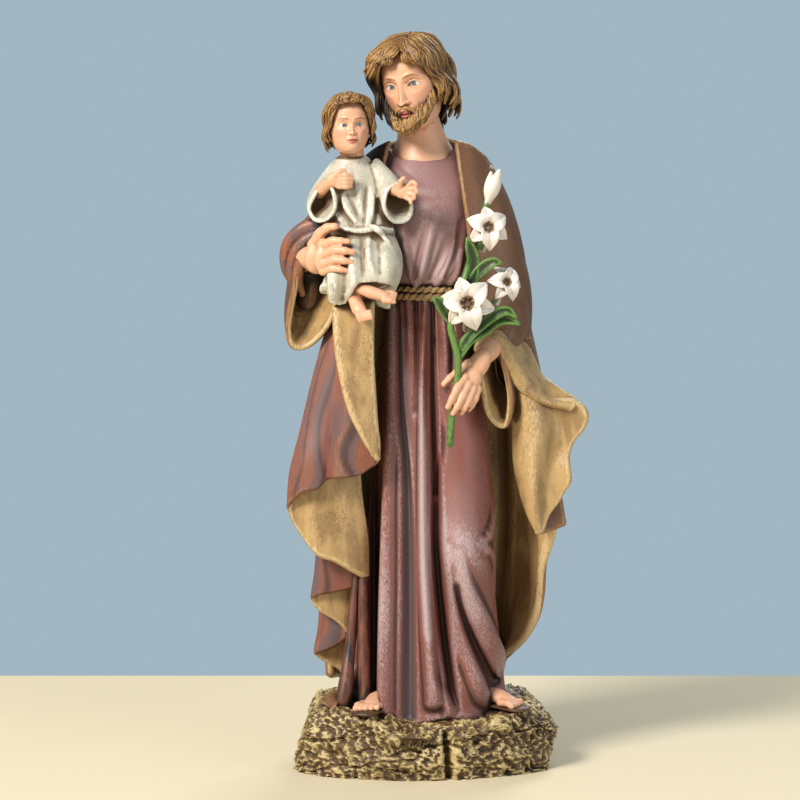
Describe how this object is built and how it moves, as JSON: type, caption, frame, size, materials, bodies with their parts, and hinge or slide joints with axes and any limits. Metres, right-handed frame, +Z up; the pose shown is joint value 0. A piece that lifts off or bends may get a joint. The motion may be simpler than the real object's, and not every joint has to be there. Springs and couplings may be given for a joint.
{
  "type": "saint joseph statue",
  "caption": "Painted resin figure of a robed, bearded saint holding a child on one arm and a spray of lilies in the other hand, standing on a rock base.",
  "frame": {"origin": "centre of the rock base's flat underside", "axes": "+Z up through the figure, -Y the front, +X to the saint's left"},
  "size_m": [0.1242, 0.0878, 0.2976],
  "materials": {
    "painted_resin": "satin, hand painted and dry-brushed",
    "painted_lily": "satin, hand painted"
  },
  "bodies": {
    "root": {"figure_casting": "painted_resin", "lily_spray": "painted_lily"}
  },
  "joints": []
}
